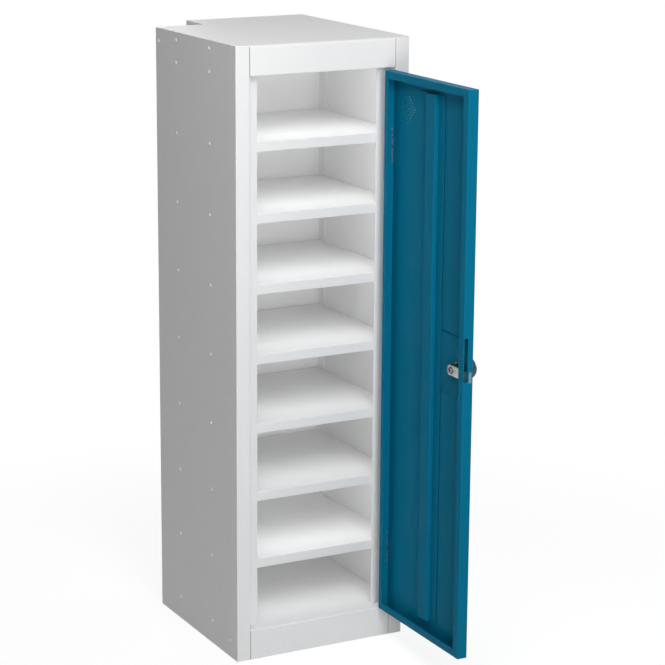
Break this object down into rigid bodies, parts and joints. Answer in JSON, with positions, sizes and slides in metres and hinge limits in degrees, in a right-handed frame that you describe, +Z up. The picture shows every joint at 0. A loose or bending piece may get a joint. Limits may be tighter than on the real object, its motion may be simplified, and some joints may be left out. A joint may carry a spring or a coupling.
{
  "type": "tablet locker",
  "caption": "Tall steel locker with open shelves for tablets behind one full-height hinged door with a turning cam lock, and a shallow box along its back.",
  "frame": {"origin": "on the floor, at the middle of the cabinet's width, in the plane of its front face", "axes": "+Z up, +X to the right facing the front, +Y from the front to the back; the door is stored open at a right angle"},
  "size_m": [0.3074, 0.631, 1],
  "materials": {
    "white_coat": "fine-textured satin powder coat",
    "blue_coat": "satin powder coat",
    "zinc_steel": "bright zinc plate",
    "chrome": "dark chrome plate"
  },
  "bodies": {
    "cabinet": {"left_side_panel": "white_coat", "right_side_panel": "white_coat", "back_panel": "white_coat", "top_panel": "white_coat", "ceiling_panel": "white_coat", "base_panel": "white_coat", "shelf_1": "white_coat", "shelf_2": "white_coat", "shelf_3": "white_coat", "shelf_4": "white_coat", "shelf_5": "white_coat", "shelf_6": "white_coat", "shelf_7": "white_coat", "rear_box_shell": "white_coat", "rear_box_top": "white_coat", "rear_box_bottom": "white_coat", "left_rivets": "white_coat", "right_rivets": "white_coat", "upper_hinge_frame_leaf": "zinc_steel", "upper_hinge_pin": "zinc_steel", "lower_hinge_frame_leaf": "zinc_steel", "lower_hinge_pin": "zinc_steel"},
    "door": {"door_panel": "blue_coat", "door_stiffener": "blue_coat", "upper_hinge_door_leaf": "zinc_steel", "lower_hinge_door_leaf": "zinc_steel", "lock_barrel": "chrome", "lock_nut": "chrome"},
    "lock": {"lock_knob": "chrome", "lock_cam": "zinc_steel", "cam_screw": "zinc_steel"}
  },
  "joints": [
    {"name": "door_swing", "type": "hinge", "parent": "cabinet", "child": "door", "pos_m": [0.12725, -0.0034, 0.5], "axis": [0, 0, 1], "range_deg": [-90, 90]},
    {"name": "lock_turn", "type": "hinge", "parent": "door", "child": "lock", "pos_m": [0.115, -0.21885, 0.512], "axis": [-1, 0, 0], "range_deg": [0, 90]}
  ]
}
